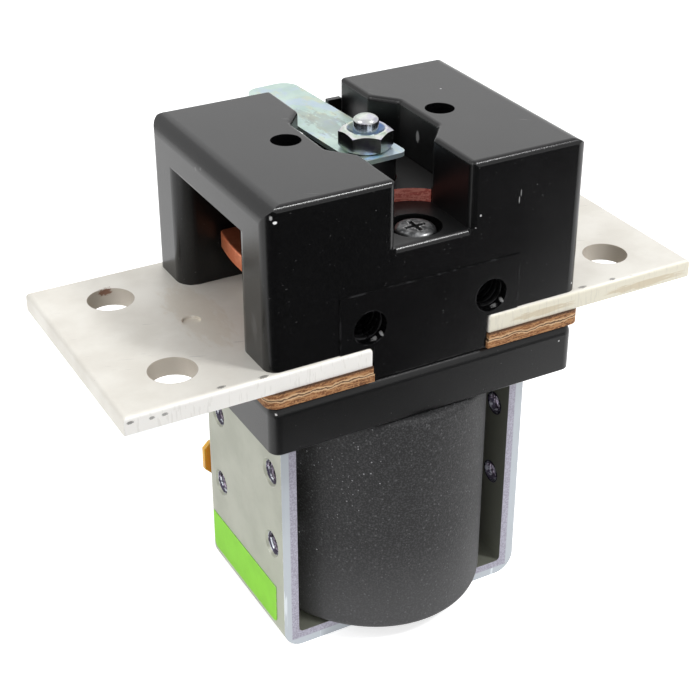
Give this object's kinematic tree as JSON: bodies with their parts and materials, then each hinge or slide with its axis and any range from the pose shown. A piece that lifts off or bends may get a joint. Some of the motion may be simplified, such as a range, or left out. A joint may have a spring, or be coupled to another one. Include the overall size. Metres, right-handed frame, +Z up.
{
  "type": "dc contactor",
  "caption": "Single-pole power contactor: a coil in a U-shaped steel frame pulls a spindle down to close a copper bridge onto two busbars under a moulded cover.",
  "frame": {"origin": "middle of the underside of the steel frame, on the spindle's axis", "axes": "+X along the busbars to the right terminal, +Y to the back, where the strap reaches out, +Z up the spindle"},
  "size_m": [0.149, 0.0798, 0.1297],
  "materials": {
    "zinc_plate": "dull zinc plate",
    "bare_steel": "turned",
    "brass": "drawn",
    "white_moulding": "moulded",
    "enamelled_wire": "enamelled copper wire",
    "coil_skin": "dark speckled",
    "amber_board": "resin board",
    "spring_steel": "drawn wire",
    "green_label": "bare label",
    "black_moulding": "moulded",
    "fibre_pad": "pressed fibre",
    "plated_bar": "dull plate",
    "silver_tip": "silver alloy",
    "cover_moulding": "moulded",
    "bright_screw": "bright zinc plate",
    "red_fibre": "fibre",
    "cup_moulding": "moulded",
    "strap_plate": "pale zinc plate",
    "copper": "copper"
  },
  "bodies": {
    "body": {"frame": "zinc_plate", "pole_plate": "zinc_plate", "core": "bare_steel", "guide_tube": "brass", "bobbin": "white_moulding", "winding": "enamelled_wire", "coil_jacket": "coil_skin", "terminal_board": "amber_board", "coil_tabs": "brass", "tab_rivets": "brass", "return_spring": "spring_steel", "label": "green_label", "base": "black_moulding", "pad_left_lower": "fibre_pad", "pad_left_upper": "fibre_pad", "pad_right_lower": "fibre_pad", "pad_right_upper": "fibre_pad", "busbar_left": "plated_bar", "busbar_right": "plated_bar", "fixed_tip_left": "silver_tip", "fixed_tip_right": "silver_tip", "cover": "cover_moulding", "cover_screws": "bright_screw", "guide_block": "red_fibre"},
    "armature": {"plunger": "bare_steel", "spindle": "bright_screw", "bush": "black_moulding", "clip": "spring_steel", "spring_cup": "cup_moulding", "contact_spring": "spring_steel", "strap": "strap_plate", "nut": "bright_screw"},
    "contact_bridge": {"bridge": "copper", "bridge_tip_left": "silver_tip", "bridge_tip_right": "silver_tip"}
  },
  "joints": [
    {"name": "armature_stroke", "type": "slide", "parent": "body", "child": "armature", "axis": [0, 0, 1], "range_m": [-0.006, 0], "stiffness_N_per_m": 400, "springref_m": 0.006, "deforming": ["return_spring"]},
    {"name": "contact_lag", "type": "slide", "parent": "armature", "child": "contact_bridge", "axis": [0, 0, 1], "range_m": [0, 0.00102], "deforming": ["contact_spring"]}
  ],
  "couplings": [
    {"joint": "contact_lag", "follows": "armature_stroke", "ratio": -0.17}
  ]
}
